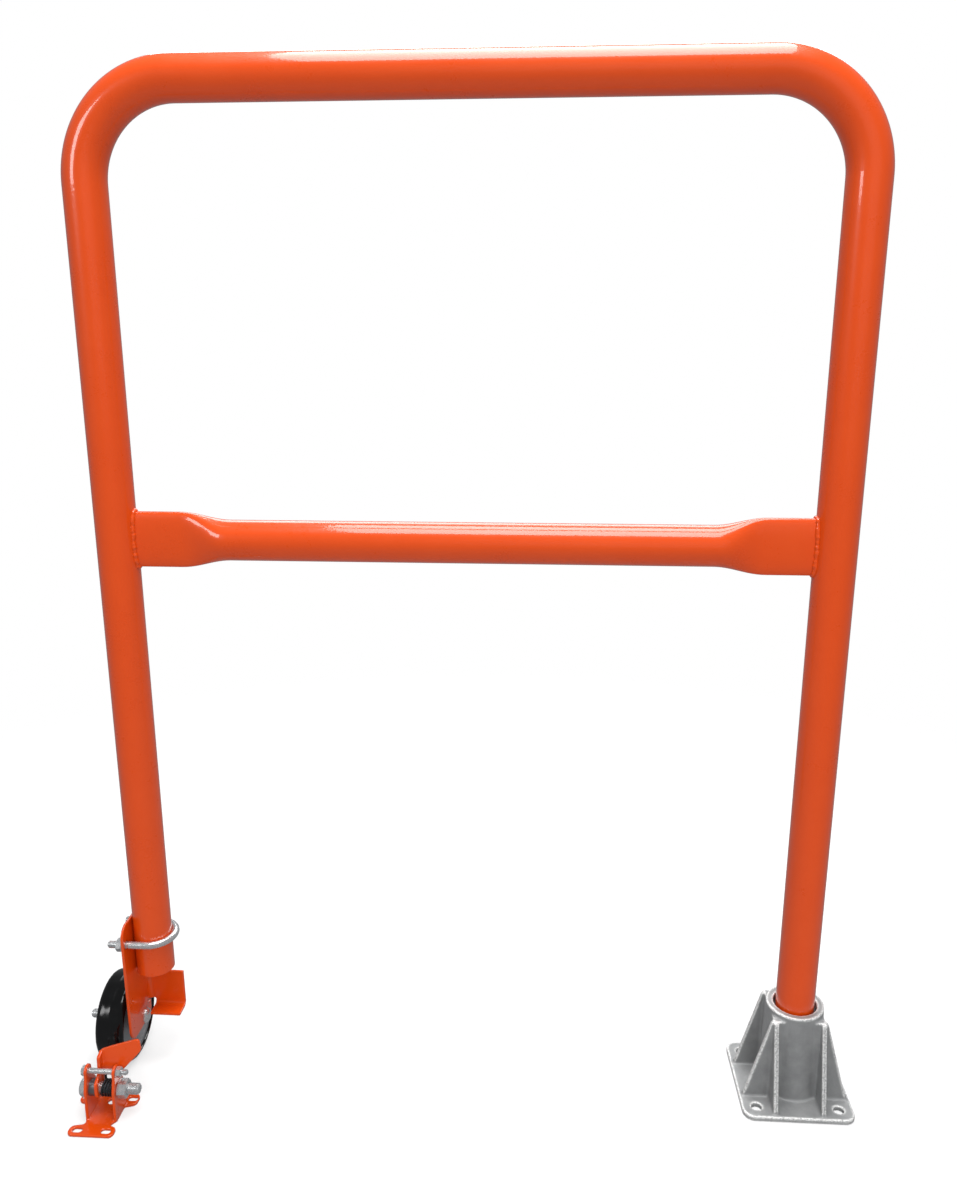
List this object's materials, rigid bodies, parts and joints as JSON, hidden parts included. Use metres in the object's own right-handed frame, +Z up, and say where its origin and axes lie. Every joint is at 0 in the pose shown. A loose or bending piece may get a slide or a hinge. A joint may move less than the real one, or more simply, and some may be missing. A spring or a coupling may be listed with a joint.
{
  "type": "swing gate",
  "caption": "Tubular swing gate leaf turning in a cast floor socket, rolling on a wheel, with a sprung floor latch.",
  "frame": {"origin": "on the hinge axis at floor level, under the middle of the cast socket", "axes": "+Z up along the hinge axis; the leaf runs towards -X when shut; the latch is on the -Y side"},
  "size_m": [0.8648, 0.187, 1.067],
  "materials": {
    "orange_paint": "gloss",
    "cast_aluminium": "as cast",
    "zinc_plate": "satin",
    "spring_steel": "satin",
    "turned_steel": "satin",
    "tread_rubber": "semi-gloss",
    "core_plastic": "satin",
    "bearing_plastic": "satin"
  },
  "bodies": {
    "floor_set": {"hinge_base": "cast_aluminium", "upper_bush": "bearing_plastic", "lower_bush": "bearing_plastic", "pivot_pad": "bearing_plastic", "latch_bracket": "orange_paint", "latch_pivot_bolt": "zinc_plate", "latch_pivot_nut": "zinc_plate", "latch_spacer": "zinc_plate", "latch_spring": "spring_steel", "latch_stop_bolt": "zinc_plate", "latch_stop_nut": "zinc_plate"},
    "catch": {"latch_catch": "orange_paint"},
    "gate": {"gate_arch": "orange_paint", "mid_rail": "orange_paint", "leg_plug": "turned_steel", "wheel_bracket": "orange_paint", "u_bolt": "zinc_plate", "u_bolt_washers": "zinc_plate", "u_bolt_nuts": "zinc_plate", "axle_bolt": "zinc_plate", "axle_washers": "zinc_plate", "axle_sleeve": "turned_steel", "axle_nut": "zinc_plate"},
    "wheel": {"tyre": "tread_rubber", "wheel_core": "core_plastic", "hub_bushes": "bearing_plastic"}
  },
  "joints": [
    {"name": "gate_swing", "type": "hinge", "parent": "floor_set", "child": "gate", "pos_m": [0, 0, 0.1], "axis": [0, 0, -1], "range_deg": [0, 110]},
    {"name": "wheel_spin", "type": "hinge", "parent": "gate", "child": "wheel", "pos_m": [-0.76505, 0.006, 0.0508], "axis": [-1, 0, 0], "continuous": true},
    {"name": "catch_pivot", "type": "hinge", "parent": "floor_set", "child": "catch", "pos_m": [-0.751, -0.091, 0.033], "axis": [-1, 0, 0], "range_deg": [0, 70], "stiffness_Nm_per_rad": 0.3, "springref_deg": -28.65}
  ]
}
